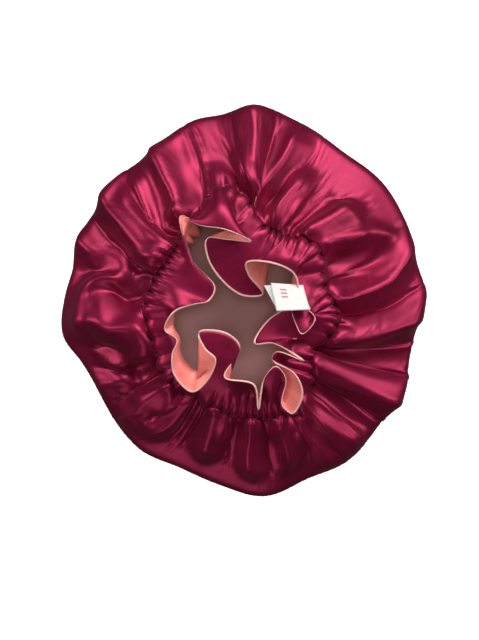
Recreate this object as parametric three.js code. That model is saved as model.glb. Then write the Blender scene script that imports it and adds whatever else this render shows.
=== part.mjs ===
// A double-layer satin sleep bonnet that lies crown down with its opening up.
// Millimetres, +Z up, +X to the right, -Y to the front. The origin is under the middle of the bonnet,
// on the surface that it lies on. Bearings are in degrees from +X, towards +Y.
import * as THREE from 'three';

// ---- driving sizes ----
const CLOTH = 1.0;              // thickness of one layer
const LAYER_GAP = 0.4;          // air between the two layers
const NEAR = LAYER_GAP / 2;     // from the middle of the bonnet's wall to a layer's hidden face
const FAR = NEAR + CLOTH;       // and to its outer face
const BAND = { thick: 1.2, tall: 7, clear: 0.4 };
const NECK = { height: 50, half: 4, pucker: 1.8 };
const RUFFLE = { rise: 6, curl: 1.5 };
const LABEL = { long: 25, wide: 30, thick: 1, gap: 0.8, step: 2, turn: 8, tilt: 7, x: 39.5, y: 14.5, z: 79.6 };
const COLUMNS = 84;             // steps round the bonnet
const COLUMNS_PER_PUCKER = 3;

// ---- the laid crown's outline: a row for each soft corner and each slack stretch between two ----
const RIM = [
  { bearing: 2, reach: 170 }, { bearing: 12, reach: 165.5 }, { bearing: 27, reach: 168.5 },
  { bearing: 40, reach: 170.5 }, { bearing: 57, reach: 168 }, { bearing: 72, reach: 175 },
  { bearing: 88, reach: 181.5 }, { bearing: 96, reach: 176 }, { bearing: 105, reach: 176 },
  { bearing: 117, reach: 168.5 }, { bearing: 128, reach: 164 }, { bearing: 137, reach: 167 },
  { bearing: 151, reach: 163.5 }, { bearing: 160, reach: 166.5 }, { bearing: 169, reach: 163.5 },
  { bearing: 180, reach: 169 }, { bearing: 191, reach: 172.5 }, { bearing: 200, reach: 163 },
  { bearing: 209, reach: 159 }, { bearing: 222, reach: 164.5 }, { bearing: 235, reach: 169.5 },
  { bearing: 249, reach: 167 }, { bearing: 262, reach: 173 }, { bearing: 276, reach: 183 },
  { bearing: 290, reach: 176 }, { bearing: 303, reach: 177.5 }, { bearing: 318, reach: 171 },
  { bearing: 328, reach: 173.5 }, { bearing: 342, reach: 163 }, { bearing: 353, reach: 164 },
];

// ---- the neck, where the elastic pulls the cloth in: a row for each bend of the ring ----
const NECK_RING = [
  { bearing: 12, reach: 68, lift: 0 }, { bearing: 36, reach: 76, lift: 2 }, { bearing: 56, reach: 64, lift: 0 },
  { bearing: 75, reach: 64, lift: -2 }, { bearing: 100, reach: 98, lift: 2 }, { bearing: 118, reach: 85, lift: 0 },
  { bearing: 140, reach: 74, lift: -1 }, { bearing: 168, reach: 77, lift: 0 }, { bearing: 184, reach: 84, lift: 1 },
  { bearing: 203, reach: 86, lift: 0 }, { bearing: 225, reach: 93, lift: 2 }, { bearing: 250, reach: 93, lift: 0 },
  { bearing: 270, reach: 98, lift: -1 }, { bearing: 290, reach: 101, lift: 2 }, { bearing: 309, reach: 86, lift: 1 },
  { bearing: 321, reach: 73, lift: -2 }, { bearing: 347, reach: 80, lift: 1 },
];

// ---- the main radial folds of the upper ring: a row for each ridge ----
const FOLDS = [
  { bearing: 20, breadth: 11, height: 7.5 }, { bearing: 37, breadth: 9, height: 9 },
  { bearing: 55, breadth: 10, height: 6 }, { bearing: 70, breadth: 9, height: 7.5 },
  { bearing: 87, breadth: 10, height: 9 }, { bearing: 106, breadth: 10, height: 6 },
  { bearing: 122, breadth: 9, height: 9 }, { bearing: 139, breadth: 10, height: 7.5 },
  { bearing: 156, breadth: 9, height: 6 }, { bearing: 174, breadth: 10, height: 9 },
  { bearing: 195, breadth: 13, height: 10.5 }, { bearing: 216, breadth: 10, height: 6 },
  { bearing: 236, breadth: 10, height: 7.5 }, { bearing: 255, breadth: 9, height: 7.5 },
  { bearing: 275, breadth: 13, height: 9 }, { bearing: 297, breadth: 10, height: 6 },
  { bearing: 314, breadth: 8, height: 6 }, { bearing: 330, breadth: 9, height: 10.5 },
  { bearing: 349, breadth: 11, height: 9 },
];

// ---- the ruffle's hem: a row for the crest of each lobe and for each cup between two lobes ----
// A crest leans in over the opening and droops; a cup stands near the neck and is higher.
const HEM = [
  { lobe: 'right roll end', bearing: 12, reach: 52, z: 72 },
  { lobe: 'right roll', bearing: 30, reach: 44, z: 75 },
  { lobe: 'right roll', bearing: 50, reach: 36, z: 74 },
  { lobe: 'back cup', bearing: 66, reach: 48, z: 72 },
  { lobe: 'back leaf', bearing: 80, reach: 28, z: 60 },
  { lobe: 'back leaf', bearing: 93, reach: 36, z: 62 },
  { lobe: 'back cup', bearing: 106, reach: 72, z: 73 },
  { lobe: 'back flap', bearing: 118, reach: 64, z: 70 },
  { lobe: 'left valley', bearing: 140, reach: 60, z: 65 },
  { lobe: 'left leaf', bearing: 160, reach: 36, z: 59 },
  { lobe: 'left leaf', bearing: 173, reach: 36, z: 59 },
  { lobe: 'left band', bearing: 188, reach: 62, z: 69 },
  { lobe: 'left band', bearing: 204, reach: 67, z: 70 },
  { lobe: 'front left cup', bearing: 224, reach: 80, z: 71 },
  { lobe: 'front curl', bearing: 238, reach: 46, z: 67 },
  { lobe: 'front curl', bearing: 248, reach: 42, z: 67 },
  { lobe: 'front lip', bearing: 261, reach: 68, z: 72 },
  { lobe: 'front trough', bearing: 274, reach: 86, z: 71 },
  { lobe: 'front trough', bearing: 286, reach: 58, z: 74 },
  { lobe: 'front right cup', bearing: 297, reach: 88, z: 71 },
  { lobe: 'front right fold', bearing: 309, reach: 54, z: 68 },
  { lobe: 'front right fold', bearing: 319, reach: 60, z: 73 },
  { lobe: 'right leaf', bearing: 329, reach: 35, z: 59 },
  { lobe: 'right leaf', bearing: 341, reach: 36, z: 60 },
  { lobe: 'label cup', bearing: 354, reach: 60, z: 71 },
];

// ---- the wall's rings between the crown's middle and the hem: a row for each ring ----
// part says which stretch of the bonnet a ring belongs to; at and z place it there.
const RINGS = [
  { part: 'crown', at: 0.72, z: FAR },
  { part: 'rim', at: -11, z: FAR },
  { part: 'rim', at: -3, z: 3.6 },
  { part: 'rim', at: 0, z: 9 },
  { part: 'rim', at: -6, z: 16 },
  { part: 'slope', at: 0.2, z: 21, fold: 0.4 },
  { part: 'slope', at: 0.52, z: 28, fold: 1 },
  { part: 'slope', at: 0.84, z: 38, fold: 0.6 },
  { part: 'neck', at: -1 },
  { part: 'neck', at: 1 },
  { part: 'ruffle', at: 0.36 },
  { part: 'ruffle', at: 0.7 },
  { part: 'ruffle', at: 1 },
];

const radians = THREE.MathUtils.degToRad;
const mod360 = (bearing) => ((bearing % 360) + 360) % 360;

// A smooth closed curve through a table of bearings: a cubic between each two rows.
function roundTable(rows, column) {
  const count = rows.length;
  const slope = rows.map((row, i) => {
    const before = rows[(i + count - 1) % count];
    const after = rows[(i + 1) % count];
    return (after[column] - before[column]) / mod360(after.bearing - before.bearing);
  });
  return (bearing) => {
    const turn = mod360(bearing - rows[0].bearing);
    let i = count - 1;
    while (mod360(rows[i].bearing - rows[0].bearing) > turn) i -= 1;
    const next = (i + 1) % count;
    const span = mod360(rows[next].bearing - rows[i].bearing);
    const t = mod360(bearing - rows[i].bearing) / span;
    const a = rows[i][column];
    const b = rows[next][column];
    const h = t * t * (3 - 2 * t);
    return a + (b - a) * h + span * t * (1 - t) * (slope[i] * (1 - t) - slope[next] * t);
  };
}

const rimReach = roundTable(RIM, 'reach');
const hemReach = roundTable(HEM, 'reach');
const hemLift = roundTable(HEM, 'z');
const neckReach = roundTable(NECK_RING, 'reach');
const neckLift = roundTable(NECK_RING, 'lift');

function foldHeight(bearing) {
  let height = 0;
  for (const fold of FOLDS) {
    const away = Math.abs(mod360(bearing - fold.bearing + 180) - 180) / fold.breadth;
    if (away < 1) height += fold.height * (0.5 + 0.5 * Math.cos(Math.PI * away));
  }
  return height;
}

const polar = (bearing, reach, z) =>
  new THREE.Vector3(reach * Math.cos(radians(bearing)), reach * Math.sin(radians(bearing)), z);

function neckPoint(bearing, up) {
  return polar(bearing, neckReach(bearing), NECK.height + neckLift(bearing) + up * NECK.half);
}

// Straight outwards from the neck's ring, in plan.
function neckNormal(bearing) {
  const step = 2;
  const along = neckPoint(bearing + step, 0).sub(neckPoint(bearing - step, 0));
  return new THREE.Vector3(along.y, -along.x, 0).normalize();
}

// ---- the middle of the wall ----
function placeOf(ring, bearing) {
  const rim = rimReach(bearing) - FAR;
  if (ring.part === 'crown') return polar(bearing, rim * ring.at, ring.z);
  if (ring.part === 'rim') return polar(bearing, rim + ring.at, ring.z);
  if (ring.part === 'slope') {
    const reach = THREE.MathUtils.lerp(rim, neckReach(bearing), ring.at);
    return polar(bearing, reach, ring.z + ring.fold * foldHeight(bearing));
  }
  if (ring.part === 'neck') return neckPoint(bearing, ring.at);
  const foot = neckPoint(bearing, 1);
  const leaning = Math.pow(ring.at, RUFFLE.curl);
  const reach = THREE.MathUtils.lerp(neckReach(bearing), hemReach(bearing), leaning);
  const z = THREE.MathUtils.lerp(foot.z, hemLift(bearing), ring.at) + RUFFLE.rise * Math.sin(Math.PI * ring.at);
  return polar(bearing, reach, z);
}

const bearings = Array.from({ length: COLUMNS }, (_, c) => (360 * c) / COLUMNS);
const middle = RINGS.map((ring) => bearings.map((bearing) => placeOf(ring, bearing)));
const crownMiddle = new THREE.Vector3(0, 0, FAR);

// The burgundy side's direction at each point of the wall.
const DOWN = new THREE.Vector3(0, 0, -1);
const facing = RINGS.map((ring, r) => bearings.map((bearing, c) => {
  if (ring.z === FAR) return DOWN;
  if (ring.part === 'neck') return neckNormal(bearing);
  const around = middle[r][(c + 1) % COLUMNS].clone().sub(middle[r][(c + COLUMNS - 1) % COLUMNS]);
  const upper = middle[Math.min(r + 1, RINGS.length - 1)][c];
  const along = upper.clone().sub(middle[r - 1][c]);
  return around.cross(along).normalize();
}));

// How far each layer stands off the middle besides its own place: the elastic's channel, with its puckers.
function spreadOf(ring, c) {
  if (ring.part !== 'neck') return 0;
  const channel = BAND.thick / 2 + BAND.clear - NEAR;
  return channel + (c % COLUMNS_PER_PUCKER === 1 ? NECK.pucker : 0);
}

// ---- closed walls ----
function closedMesh(name, points, faces, material) {
  const geometry = new THREE.BufferGeometry();
  geometry.setAttribute('position', new THREE.Float32BufferAttribute(points.flatMap((p) => [p.x, p.y, p.z]), 3));
  geometry.setIndex(faces.flat());
  geometry.computeVertexNormals();
  const mesh = new THREE.Mesh(geometry, material);
  mesh.name = name;
  return mesh;
}

// One layer of cloth between two distances from the middle of the wall; side is 1 for the burgundy side.
function clothLayer(name, side, material) {
  const points = [];
  const faces = [];
  const skins = [NEAR, FAR].map((distance) => {
    const pole = points.push(crownMiddle.clone().addScaledVector(DOWN, side * distance)) - 1;
    const rows = RINGS.map((ring, r) => bearings.map((_, c) => {
      const off = side * (distance + spreadOf(ring, c));
      return points.push(middle[r][c].clone().addScaledVector(facing[r][c], off)) - 1;
    }));
    return { pole, rows };
  });
  skins.forEach(({ pole, rows }, skin) => {
    const outwards = (skin === 1) === (side === 1);
    const add = (a, b, c) => faces.push(outwards ? [a, c, b] : [a, b, c]);
    for (let c = 0; c < COLUMNS; c += 1) {
      const next = (c + 1) % COLUMNS;
      add(pole, rows[0][c], rows[0][next]);
      for (let r = 0; r + 1 < RINGS.length; r += 1) {
        add(rows[r][c], rows[r + 1][c], rows[r + 1][next]);
        add(rows[r][c], rows[r + 1][next], rows[r][next]);
      }
    }
  });
  const hem = skins.map(({ rows }) => rows[RINGS.length - 1]);
  for (let c = 0; c < COLUMNS; c += 1) {
    const next = (c + 1) % COLUMNS;
    const [a, b, d, e] = [hem[0][c], hem[0][next], hem[1][next], hem[1][c]];
    const strip = side === 1 ? [[a, d, b], [a, e, d]] : [[a, b, d], [a, d, e]];
    faces.push(...strip);
  }
  return closedMesh(name, points, faces, material);
}

// The elastic: a flat band that stands in the channel all round the neck.
function elasticBand(material) {
  const corners = [[-1, -1], [1, -1], [1, 1], [-1, 1]];
  const points = bearings.flatMap((bearing) => corners.map(([out, up]) => {
    const place = neckPoint(bearing, 0);
    place.addScaledVector(neckNormal(bearing), (out * BAND.thick) / 2);
    place.z += (up * BAND.tall) / 2;
    return place;
  }));
  const faces = [];
  for (let c = 0; c < COLUMNS; c += 1) {
    const here = 4 * c;
    const next = 4 * ((c + 1) % COLUMNS);
    for (let k = 0; k < 4; k += 1) {
      const m = (k + 1) % 4;
      faces.push([here + k, next + m, here + m], [here + k, next + k, next + m]);
    }
  }
  return closedMesh('elastic_band', points, faces, material);
}

// The label: a tape folded double, its fold away from the seam.
function wovenLabel(material) {
  const { long, wide, thick, gap, turn, tilt } = LABEL;
  const inner = gap / 2;
  const outer = inner + thick;
  const side = new THREE.Shape();
  side.moveTo(0, outer);
  side.lineTo(0, inner);
  side.lineTo(long - outer, inner);
  side.absarc(long - outer, 0, inner, Math.PI / 2, -Math.PI / 2, true);
  side.lineTo(LABEL.step, -inner);
  side.lineTo(LABEL.step, -outer);
  side.lineTo(long - outer, -outer);
  side.absarc(long - outer, 0, outer, -Math.PI / 2, Math.PI / 2, false);
  side.closePath();
  const geometry = new THREE.ExtrudeGeometry(side, { depth: wide, bevelEnabled: false, curveSegments: 6 });
  geometry.translate(0, 0, -wide / 2);
  const mesh = new THREE.Mesh(geometry, material);
  mesh.name = 'label';
  mesh.rotation.set(Math.PI / 2, 0, -Math.PI / 2, 'ZYX');
  const place = new THREE.Group();
  place.rotation.set(0, 0, radians(turn));
  const lean = new THREE.Group();
  lean.rotation.set(radians(tilt), 0, 0);
  lean.add(mesh);
  place.add(lean);
  place.position.set(LABEL.x, LABEL.y, LABEL.z);
  return place;
}

const burgundy = new THREE.MeshStandardMaterial({ color: 0x8a1540, roughness: 0.35, metalness: 0.2 });
const coral = new THREE.MeshStandardMaterial({ color: 0xe87a74, roughness: 0.4, metalness: 0.15 });
const elastic = new THREE.MeshStandardMaterial({ color: 0xe9e2da, roughness: 0.85, metalness: 0 });
const tape = new THREE.MeshStandardMaterial({ color: 0xebe8e4, roughness: 0.7, metalness: 0 });

const bonnet = new THREE.Group();
bonnet.add(clothLayer('outer_satin', 1, burgundy));
bonnet.add(clothLayer('lining_satin', -1, coral));
bonnet.add(elasticBand(elastic));
bonnet.add(wovenLabel(tape));

// The box that the bonnet fills is centred over the origin.
const filled = new THREE.Box3().setFromObject(bonnet);
const centre = filled.getCenter(new THREE.Vector3());
bonnet.position.set(-centre.x, -centre.y, -filled.min.z);

export default bonnet;
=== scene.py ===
# %% [markdown]
# # A double-layer satin sleep bonnet, lying crown down
# The bonnet is two discs of satin, sewn together at their edge and turned right side out. A channel is
# stitched round near the edge, and an elastic in it gathers the disc into a neck. What is left outside
# the channel becomes the ruffle. Everything here follows from that cut: the cloth is a disc, its rows are
# rings of the disc, and gathering makes the folds.

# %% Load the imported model
import math

import bpy
import numpy as np
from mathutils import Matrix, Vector


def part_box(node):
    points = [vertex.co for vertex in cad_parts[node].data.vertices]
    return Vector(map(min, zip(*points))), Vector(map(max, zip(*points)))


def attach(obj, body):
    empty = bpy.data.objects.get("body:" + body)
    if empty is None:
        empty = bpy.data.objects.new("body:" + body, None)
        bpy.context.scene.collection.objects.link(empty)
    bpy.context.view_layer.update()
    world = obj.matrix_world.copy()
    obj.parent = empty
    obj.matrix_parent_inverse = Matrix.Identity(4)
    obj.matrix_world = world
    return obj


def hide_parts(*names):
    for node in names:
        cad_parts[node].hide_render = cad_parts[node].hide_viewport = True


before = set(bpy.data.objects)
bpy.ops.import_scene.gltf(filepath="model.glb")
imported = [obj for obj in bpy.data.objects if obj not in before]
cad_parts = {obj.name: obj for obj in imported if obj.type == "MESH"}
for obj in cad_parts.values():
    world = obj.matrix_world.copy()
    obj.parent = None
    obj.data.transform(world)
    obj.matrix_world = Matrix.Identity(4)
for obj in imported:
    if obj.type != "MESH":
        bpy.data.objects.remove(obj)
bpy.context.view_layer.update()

# %% [markdown]
# ## Camera
# The bonnet is seen from straight above, as when it is laid on a table to be looked at. The lens is long
# enough that the rim isn't stretched. It stands a little left of and in front of the middle, because the
# bonnet lies slightly right of and behind the middle of the picture.

# %% Camera
MM = 0.001
CAMERA = {"x": -0.0038, "y": -0.0169, "height": 1.05, "lens": 84.0, "sensor": 36.0}


def put_in_scene(name, data):
    """A new object at the origin."""
    made = bpy.data.objects.new(name, data)
    bpy.context.collection.objects.link(made)
    return made


camera_data = bpy.data.cameras.new("camera")
camera_data.sensor_fit = "HORIZONTAL"
camera_data.sensor_width = CAMERA["sensor"]
camera_data.lens = CAMERA["lens"]
camera = put_in_scene("camera", camera_data)
camera.location = (CAMERA["x"], CAMERA["y"], CAMERA["height"])
bpy.context.scene.camera = camera
print("view width at the floor, mm", round(CAMERA["height"] * CAMERA["sensor"] / CAMERA["lens"] / MM, 1))

# %% [markdown]
# ## Shader maths as Python expressions
# A material is a formula: a weave, a mask, a mix. Written node by node, it is hard to read. One small
# class holds a socket and adds the Math node for each operator, so that `1 - mask * 0.4` builds itself.
# Every other node comes from one method, which sets the node first and then feeds its sockets.

# %% A small shader language
class Sig:
    """A value in a node tree: one output socket, with operators."""

    def __init__(self, tree, socket):
        self.tree = tree
        self.socket = socket

    def node(self, kind, settings=None, **inputs):
        """Adds a node of a type, sets it, feeds its sockets, and returns it."""
        made = self.tree.nodes.new(kind)
        for name, value in (settings or {}).items():
            setattr(made, name, value)
        for name, value in inputs.items():
            feed(self.tree, find_socket(made, name), value)
        return made

    def out(self, made, name=0):
        return Sig(self.tree, made.outputs[name])

    def math(self, operation, a, b):
        return self.out(self.node("ShaderNodeMath", {"operation": operation}, _0=a, _1=b))

    def __add__(self, other):
        return self.math("ADD", self, other)

    def __sub__(self, other):
        return self.math("SUBTRACT", self, other)

    def __mul__(self, other):
        return self.math("MULTIPLY", self, other)

    def __rsub__(self, other):
        return self.math("SUBTRACT", other, self)

    __radd__ = __add__

    def band(self, low, high):
        """0 below low, 1 above high, smooth between them."""
        made = self.node(
            "ShaderNodeMapRange", {"interpolation_type": "SMOOTHSTEP"},
            Value=self, From_Min=low, From_Max=high, To_Min=0.0, To_Max=1.0,
        )
        return self.out(made)

    def noise(self, vector, scale, detail):
        return self.out(self.node("ShaderNodeTexNoise", Vector=vector, Scale=scale, Detail=detail), "Fac")

    def wave(self, direction, vector, scale):
        settings = {"bands_direction": direction}
        return self.out(self.node("ShaderNodeTexWave", settings, Vector=vector, Scale=scale), "Fac")

    def mix(self, factor, first, second):
        """A colour between two: sockets 0, 6 and 7 of the node are its factor and its two colours."""
        made = self.node("ShaderNodeMix", {"data_type": "RGBA"}, _0=factor, _6=first, _7=second)
        return self.out(made, 2)

    def shade(self, **inputs):
        """Feeds the material's Principled shader."""
        for name, value in inputs.items():
            feed(self.tree, find_socket(self.tree.nodes["Principled BSDF"], name), value)


def find_socket(made, name):
    """A socket by its place, written _0, or by its name, with _ for a space."""
    if name.startswith("_"):
        return made.inputs[int(name[1:])]
    return made.inputs[name.replace("_", " ")]


def feed(tree, socket, value):
    if isinstance(value, Sig):
        tree.links.new(value.socket, socket)
    elif hasattr(socket.default_value, "__len__") and len(value) < len(socket.default_value):
        socket.default_value = (*value, 1.0)
    else:
        socket.default_value = value


def new_material(name):
    """An empty material with its Principled shader, and a starting value to build from."""
    material = bpy.data.materials.new(name)
    material.use_nodes = True
    return material, Sig(material.node_tree, None)


# %% [markdown]
# ## Floor and light
# A plain pale floor keeps the bonnet's colours clean. Satin shows what it mirrors, so the light is what
# makes it look like satin: a big soft window behind, a smaller one at each side and a weak one in front give
# hot pink ridges, and the dark ceiling between them gives plum hollows where the cloth lies level.

# %% Floor
FLOOR_GLOW = 1.0
FLOOR_HALF = 12.0


def floor_material():
    material, start = new_material("pale_floor")
    mottle = start.noise(start.out(start.node("ShaderNodeTexCoord"), "Object"), 3.0, 3.0)
    tone = start.mix(mottle.band(0.3, 0.7), (0.9, 0.9, 0.9), (0.93, 0.93, 0.93))
    start.shade(Base_Color=tone, Roughness=0.8, Specular_IOR_Level=0.1)
    start.shade(Emission_Color=(1.0, 1.0, 1.0), Emission_Strength=FLOOR_GLOW)
    return material


floor_mesh = bpy.data.meshes.new("floor")
floor_mesh.from_pydata(
    [(-FLOOR_HALF, -FLOOR_HALF, 0), (FLOOR_HALF, -FLOOR_HALF, 0),
     (FLOOR_HALF, FLOOR_HALF, 0), (-FLOOR_HALF, FLOOR_HALF, 0)],
    [], [(0, 1, 2, 3)],
)
floor = put_in_scene("floor", floor_mesh)
floor_mesh.materials.append(floor_material())
# The floor is bright in the picture, but it doesn't light or mirror in the satin, as on a cut-out.
floor.visible_diffuse = False
floor.visible_glossy = False

# %% Lights
# A row for each soft light: where it stands, its two sides in metres, and its power in watts.
LIGHTS = [
    {"name": "back_window", "place": (0.35, 1.25, 1.15), "sides": (1.4, 0.8), "power": 24.0},
    {"name": "left_window", "place": (-1.35, 0.45, 0.95), "sides": (0.6, 0.8), "power": 8.0},
    {"name": "right_window", "place": (1.45, 0.35, 0.9), "sides": (0.6, 0.9), "power": 8.0},
    {"name": "front_fill", "place": (-0.5, -1.4, 1.1), "sides": (1.2, 0.7), "power": 4.0},
]
AIM = (0.0, 0.0, 0.03)
WORLD_GREY = 0.045

for row in LIGHTS:
    light_data = bpy.data.lights.new(row["name"], "AREA")
    light_data.shape = "RECTANGLE"
    light_data.size, light_data.size_y = row["sides"]
    light_data.energy = row["power"]
    light = put_in_scene(row["name"], light_data)
    light.location = row["place"]
    light.rotation_euler = (Vector(AIM) - Vector(row["place"])).to_track_quat("-Z", "Y").to_euler()

# The fill from above reaches into the hollow; it isn't mirrored, so level satin stays dark.
FILL = {"height": 1.5, "side": 0.5, "power": 5.5}
fill_data = bpy.data.lights.new("hollow_fill", "AREA")
fill_data.size = FILL["side"]
fill_data.energy = FILL["power"]
fill = put_in_scene("hollow_fill", fill_data)
fill.location = (0, 0, FILL["height"])
fill.visible_glossy = False
fill.visible_camera = False

# The room is dim for the satin, and plain white where it is looked at straight.
world = bpy.data.worlds.new("room")
world.use_nodes = True
room = Sig(world.node_tree, None)
dim = world.node_tree.nodes["Background"]
dim.inputs["Color"].default_value = (WORLD_GREY, WORLD_GREY, WORLD_GREY, 1)
white = room.node("ShaderNodeBackground", Color=(1.0, 1.0, 1.0))
looked_at = room.out(room.node("ShaderNodeLightPath"), "Is Camera Ray")
room_mix = room.node("ShaderNodeMixShader", Fac=looked_at, _1=room.out(dim), _2=room.out(white))
feed(world.node_tree, world.node_tree.nodes["World Output"].inputs["Surface"], room.out(room_mix))
bpy.context.scene.world = world
bpy.context.scene.view_settings.view_transform = "Standard"
print("lights", len(LIGHTS))

# %% [markdown]
# ## The bonnet's sizes
# The outline of the laid crown, the ring of the neck and the wandering hem are each one closed curve, so
# each is a short table of bearings, in degrees from +X towards +Y, with lengths in millimetres. The
# tables of the rim and the neck are those of the CAD part. The hem has more turns here, because fine
# cloth can double back on itself where a coarse wall can't.

# %% Outline of the crown and ring of the neck
RIM = [
    (2, 170), (12, 165.5), (27, 168.5), (40, 170.5), (57, 168), (72, 175), (88, 181.5), (96, 176),
    (105, 176), (117, 168.5), (128, 164), (137, 167), (151, 163.5), (160, 166.5), (169, 163.5),
    (180, 169), (191, 172.5), (200, 163), (209, 159), (222, 164.5), (235, 169.5), (249, 167),
    (262, 173), (276, 183), (290, 176), (303, 177.5), (318, 171), (328, 173.5), (342, 163), (353, 164),
]
NECK_RING = [
    (12, 68, 0), (36, 76, 2), (56, 64, 0), (75, 64, -2), (100, 98, 2), (118, 85, 0), (140, 74, -1),
    (168, 77, 0), (184, 84, 1), (203, 86, 0), (225, 93, 2), (250, 93, 0), (270, 98, -1), (290, 101, 2),
    (309, 86, 1), (321, 73, -2), (347, 80, 1),
]
NECK = {"height": 50.0, "half": 4.0}
CLOTH_MIDDLE = 1.2


def round_table(rows, column):
    """A smooth closed curve through one column of a table of bearings."""
    bearing = np.array([row[0] for row in rows], float)
    value = np.array([row[column] for row in rows], float)
    bearing = np.concatenate([bearing - 360, bearing, bearing + 360])
    value = np.tile(value, 3)
    slope = np.gradient(value, bearing)

    def read(at):
        at = np.mod(at, 360.0)
        i = np.clip(np.searchsorted(bearing, at, side="right") - 1, 0, len(bearing) - 2)
        span = bearing[i + 1] - bearing[i]
        t = (at - bearing[i]) / span
        bend = span * t * (1 - t) * (slope[i] * (1 - t) - slope[i + 1] * t)
        return value[i] + (value[i + 1] - value[i]) * t * t * (3 - 2 * t) + bend

    return read


rim_reach = round_table(RIM, 1)
neck_reach = round_table(NECK_RING, 1)
neck_lift = round_table(NECK_RING, 2)


def smooth(x):
    """0 to 1, level at both ends."""
    x = np.clip(x, 0.0, 1.0)
    return x * x * (3 - 2 * x)


def polar(bearing, reach, z):
    angle = np.radians(bearing)
    return np.stack([reach * np.cos(angle), reach * np.sin(angle), z + 0 * reach], -1)


every_degree = np.arange(360.0)
print("rim round, mm", round(float(np.radians(rim_reach(every_degree)).sum())))
print("neck round, mm", round(float(np.radians(neck_reach(every_degree)).sum())))

# %% [markdown]
# ## The hem
# The hem is the disc's edge. Seen from above it wanders in and out: where it swings out, the lining shows
# as a pink cup, and where it swings in, the burgundy side shows as a hollow. One row for each turn says
# which bearing of the neck its cloth comes from, and where the turn lies. A centripetal spline keeps the
# curve round between turns, without loops.

# %% The hem's turns: foot's bearing, x, y and z in millimetres, clockwise from the back left
HEM = [
    (126, -57, 75, 60), (115, -40, 66, 69), (101, -16, 61, 76), (91, 6, 51, 73), (86, -14, 53, 66),
    (83, -34, 54, 63), (79, -33, 37, 60), (75, -21, 18, 56), (70, -2, 4, 53), (65, 16, 5, 54),
    (61, 3, 22, 66), (58, 1, 33, 74), (49, 22, 33, 79), (37, 42, 24, 78), (27, 47, 11, 72),
    (17, 41, -6, 68), (9, 45, -22, 71), (3, 50, -30, 73), (-3, 62, -16, 71), (-9, 50, -6, 62),
    (-14, 33, -9, 55), (-21, 18, -20, 52), (-29, 8, -38, 57), (-35, 25, -38, 68), (-41, 52, -53, 76),
    (-46, 28, -45, 68), (-50, 24, -52, 64), (-54, 44, -64, 76), (-59, 51, -82, 76), (-64, 42, -100, 70),
    (-68, 33, -92, 70), (-71, 36, -68, 76), (-75, 27, -57, 80), (-79, 17, -68, 76), (-83, 12, -97, 69),
    (-88, 8, -74, 72), (-96, -18, -67, 73), (-102, -10, -52, 68), (-106, -4, -40, 68), (-110, -16, -28, 71),
    (-115, -40, -27, 70), (-119, -34, -42, 74), (-122, -25, -51, 76), (-126, -32, -70, 73),
    (-132, -46, -81, 70), (-139, -62, -66, 71), (-147, -64, -48, 72), (-154, -60, -35, 68),
    (-163, -71, -26, 65), (-173, -62, -10, 71), (-183, -46, -4, 66), (-194, -31, 0, 57),
    (-204, -26, 12, 57), (-216, -44, 32, 60), (-226, -52, 50, 64),
]
COLUMNS = 512
STEPS_PER_TURN = 24


def closed_spline(points, steps):
    """A centripetal Catmull-Rom curve through a ring of points."""
    before, start, end, after = (np.roll(points, shift, 0) for shift in (1, 0, -1, -2))
    knots = [np.zeros(len(points))]
    for a, b in ((before, start), (start, end), (end, after)):
        knots.append(knots[-1] + np.sqrt(np.linalg.norm(b - a, axis=1)))
    k0, k1, k2, k3 = (k[:, None] for k in knots)

    def blend(p, q, kp, kq, at):
        return (kq - at) / (kq - kp) * p + (at - kp) / (kq - kp) * q

    rows = []
    for step in range(steps):
        at = k1 + (k2 - k1) * step / steps
        a1 = blend(before, start, k0, k1, at)
        a2 = blend(start, end, k1, k2, at)
        a3 = blend(end, after, k2, k3, at)
        rows.append(blend(blend(a1, a2, k0, k2, at), blend(a2, a3, k1, k3, at), k1, k2, at))
    return np.stack(rows, 1).reshape(-1, points.shape[1])


# %% Share the hem out evenly between the columns of cloth
hem_turns = np.array([row[1:] for row in HEM], float)
feet = np.array([row[0] for row in HEM] + [HEM[0][0] - 360], float)
hem_curve = closed_spline(hem_turns, STEPS_PER_TURN)
hem_steps = np.linalg.norm(np.roll(hem_curve, -1, 0) - hem_curve, axis=1)
hem_length = hem_steps.sum()
hem_share = np.concatenate([[0], np.cumsum(hem_steps)]) / hem_length
share = np.arange(COLUMNS) / COLUMNS
hem_at = np.interp(share, hem_share, np.arange(len(hem_share)))
closed = np.concatenate([hem_curve, hem_curve[:1]])
hem_line = np.stack([np.interp(hem_at, np.arange(len(closed)), closed[:, k]) for k in range(3)], -1)
foot = np.interp(hem_at / STEPS_PER_TURN, np.arange(len(feet)), feet)


def smooth_feet(bearing, passes):
    """Evens out the steps between columns at the neck, where the elastic spreads the gathers."""
    for _ in range(passes):
        wide = np.concatenate([bearing[-1:] + 360, bearing, bearing[:1] - 360])
        bearing = (wide[2:] + wide[1:-1] + wide[:-2]) / 3
    return bearing


FEET_PASSES = 150
RIM_FOLLOWS_NECK = 0.35
foot = smooth_feet(foot, FEET_PASSES)
even = feet[0] - 360 * share
even = even + np.mean(foot - even)
rim_bearing = RIM_FOLLOWS_NECK * foot + (1 - RIM_FOLLOWS_NECK) * even
neck_share = (foot[0] - foot) / 360.0
print("hem length, mm", round(float(hem_length)))

# %% [markdown]
# ## The disc's rings
# A ring of the disc is a row of the mesh, named by its distance from the middle of the flat cut disc.
# The rows up to the rim lie flat on the table. Then the cloth turns over the rim, runs in over the hair
# to the neck, stands up through the elastic's channel, and ends in the ruffle.

# %% Radii on the flat disc, in millimetres
CUT = {"rim": 162.0, "neck": 270.0, "channel": 7.5, "hem": 316.0}
SLOPE_STEP = 3.0
RUFFLE_ROWS = 14
RIM_TURN = {"radius": 8.5, "cloth": 22.0, "angle": 0.80 * math.pi}

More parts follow.
